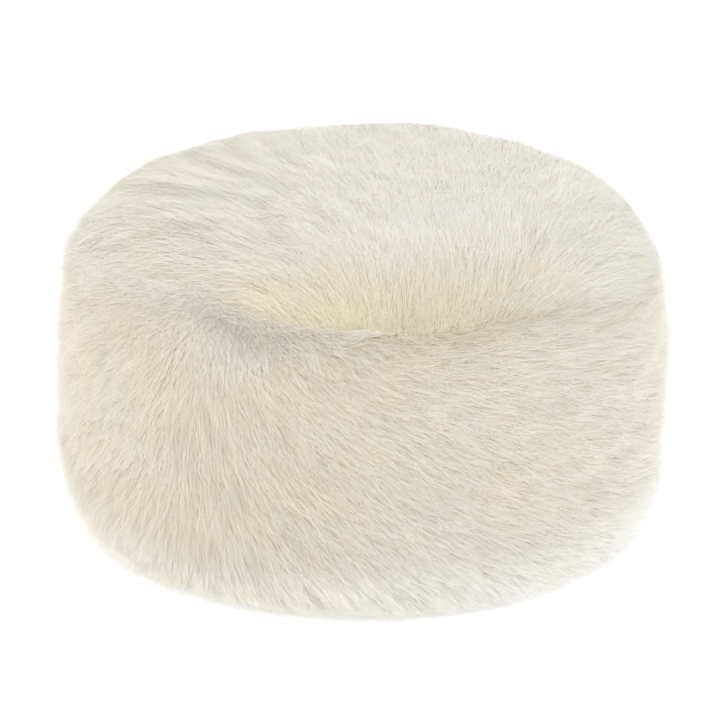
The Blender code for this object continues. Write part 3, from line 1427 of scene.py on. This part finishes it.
class Hat:
    """The whole hat: its two piles, the underfur below them and the knitted backing."""

    CLEARANCE = 0.6 * MM
    PILES = (CROWN_PILE, CROWN_COAT, BAND_PILE, BAND_COAT, SEAM_TUFTS, COWLICK)
    FINISHES = {
        Part.BAND: FurFinish(
            "side_fur",
            root=(0.79, 0.725, 0.55),
            middle=(0.825, 0.79, 0.70),
            tip=(0.832, 0.805, 0.735),
            end=(0.95, 0.935, 0.89),
        ),
        Part.CROWN: FurFinish(
            "crown_fur",
            root=(0.83, 0.768, 0.58),
            middle=(0.86, 0.838, 0.775),
            tip=(0.865, 0.853, 0.82),
            end=(0.93, 0.92, 0.89),
            warm=(1.045, 1.033, 1.0),
            cool=(0.97, 0.976, 0.987),
            shade=(0.96, 1.02),
        ),
    }

    def __init__(self, frame: dict[str, dict]) -> None:
        """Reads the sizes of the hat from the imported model.
        """
        self.nodes = frame["nodes"]
        low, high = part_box("band_fur")
        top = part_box("crown_fur")[1].z
        self.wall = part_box("band_backing")[1]
        self.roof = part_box("crown_backing")[1].z
        half_width = (high.x - low.x) / 2
        oval = (high.y - low.y) / (high.x - low.x)
        self.surface = Surface(Outline(half_width, oval, top), Crease())

    def build(self) -> None:
        """Builds and dresses every piece, from the backing out to the strands."""
        strand_finishes = {part: finish.strands() for part, finish in self.FINISHES.items()}
        KnitBacking(self.wall.x).dress(self.nodes)
        maker = PileMaker(self.surface, Comb(self.surface))
        for pile in self.PILES:
            pile.build(maker, strand_finishes[pile.part])
        inside, inside_oval = self.wall.x + self.CLEARANCE, self.wall.y / self.wall.x
        for part, roof in ((Part.CROWN, self.roof), (Part.BAND, self.surface.crease.height)):
            finish = self.FINISHES[part].underfur()
            Underfur(part, inside, inside_oval, roof).build(self.surface, finish)


@dataclass(frozen=True)
class Lamp:
    """A soft square lamp.

    Attributes:
        name: Name of the lamp.
        place: Where it stands.
        size: Side of its square.
        power: Its power in watts.
        colour: Its colour.
    """

    name: str
    place: Place
    size: float
    power: float
    colour: Colour

    def build(self, target: Vector) -> None:
        """Adds the lamp, pointed at the target.

        Args:
            target: What it lights.
        """
        data = bpy.data.lights.new(self.name, "AREA")
        data.size, data.energy, data.color = self.size, self.power, self.colour
        lamp = bpy.data.objects.new(self.name, data)
        lamp.location = self.place
        lamp.rotation_euler = (target - Vector(self.place)).to_track_quat("-Z", "Y").to_euler()
        bpy.context.scene.collection.objects.link(lamp)


@dataclass(frozen=True)
class Studio:
    """A pale floor, soft light and the camera at the photograph's angle.

    Attributes:
        elevation: Camera's angle above the horizon, in degrees.
        distance: Camera's distance from the middle of the hat.
        metres_per_pixel: Size of a pixel at the hat.
        middle_pixel: Where the middle of the hat lies in the frame.
        frame_pixels: Side of the frame.
        sensor_mm: Width of the camera's sensor.
        floor_reach: Distance from the middle of the floor to its sides.
        floor_glow: Light that the floor gives by itself, as a studio's lit table does.
        surround: Strength of the even white light from all round.
        lamps: A key above on the left, one above and behind, and a low fill on the right.
    """

    elevation: float = 19.0
    distance: float = 1.4
    metres_per_pixel: float = 0.4135 * MM
    middle_pixel: tuple[float, float] = (361.5, 341.0)
    frame_pixels: int = 720
    sensor_mm: float = 36.0
    floor_reach: float = 12.0
    floor_glow: float = 0.4
    surround: float = 1.08
    lamps: tuple[Lamp, ...] = (
        Lamp("key", (-0.6, -1.2, 1.9), 1.8, 8.4, (1.0, 0.99, 0.97)),
        Lamp("back", (-0.1, 1.6, 1.6), 1.8, 5.2, (1.0, 0.995, 0.985)),
        Lamp("right_fill", (1.4, -1.1, 0.25), 0.6, 1.6, (1.0, 1.0, 1.0)),
    )

    def floor(self) -> None:
        """Adds the floor, in a pale finish with a faint grain."""
        reach = self.floor_reach
        corners = [(-reach, -reach, 0), (reach, -reach, 0), (reach, reach, 0), (-reach, reach, 0)]
        mesh = bpy.data.meshes.new("floor")
        mesh.from_pydata(corners, [], [(0, 1, 2, 3)])
        nodes = Nodes("floor")
        grain = nodes.ramp(nodes.noise(40.0, 3.0), ((0.3, (0.955,) * 3), (0.7, (0.97,) * 3)))
        lit = nodes.to_shader(
            Base_Color=grain,
            Roughness=0.9,
            Specular_IOR_Level=0.1,
            Emission_Color=(1.0, 1.0, 1.0, 1.0),
            Emission_Strength=self.floor_glow,
        )
        add_piece("floor", mesh, lit)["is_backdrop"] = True

    def light(self, middle: Vector) -> None:
        """Lights the scene with an even white surround and soft lamps.

        Args:
            middle: The middle of the hat.
        """
        world = bpy.data.worlds.new("studio")
        world.use_nodes = True
        background = world.node_tree.nodes["Background"]
        background.inputs["Color"].default_value = (1.0, 1.0, 1.0, 1.0)
        background.inputs["Strength"].default_value = self.surround
        scene = bpy.context.scene
        scene.world = world
        for lamp in self.lamps:
            lamp.build(middle)
        scene.view_settings.view_transform = "Standard"

    def camera(self, middle: Vector) -> None:
        """Places the camera.

        Args:
            middle: The middle of the hat.
        """
        data = bpy.data.cameras.new("camera")
        data.sensor_width = self.sensor_mm
        data.lens = self.sensor_mm / self.frame_pixels * self.distance / self.metres_per_pixel
        camera = bpy.data.objects.new("camera", data)
        angle = math.radians(self.elevation)
        back = Vector((0, -math.cos(angle), math.sin(angle)))
        up = Vector((0, math.sin(angle), math.cos(angle)))
        half = self.frame_pixels / 2
        aside = (half - self.middle_pixel[0]) * self.metres_per_pixel
        below = (self.middle_pixel[1] - half) * self.metres_per_pixel
        target = middle + Vector((aside, 0, 0)) + up * below
        camera.location = target + back * self.distance
        camera.rotation_euler = (-back).to_track_quat("-Z", "Y").to_euler()
        bpy.context.scene.collection.objects.link(camera)
        bpy.context.scene.camera = camera

    def build(self, middle: Vector) -> None:
        """Builds the floor, the light and the camera.

        Args:
            middle: The middle of the hat.
        """
        self.floor()
        self.light(middle)
        self.camera(middle)
        log.info("studio: floor, %d lamps and camera", len(self.lamps))


def main() -> None:
    """Builds the hat and its studio, placed by the middle of the imported model's bounds."""
    logging.basicConfig(level=logging.INFO, format="%(name)s: %(message)s")
    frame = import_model()
    cad_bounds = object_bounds()
    middle = (cad_bounds[0] + cad_bounds[1]) / 2
    Studio().build(Vector((0, 0, middle.z)))
    Hat(frame).build()


if __name__ == "__main__":
    main()
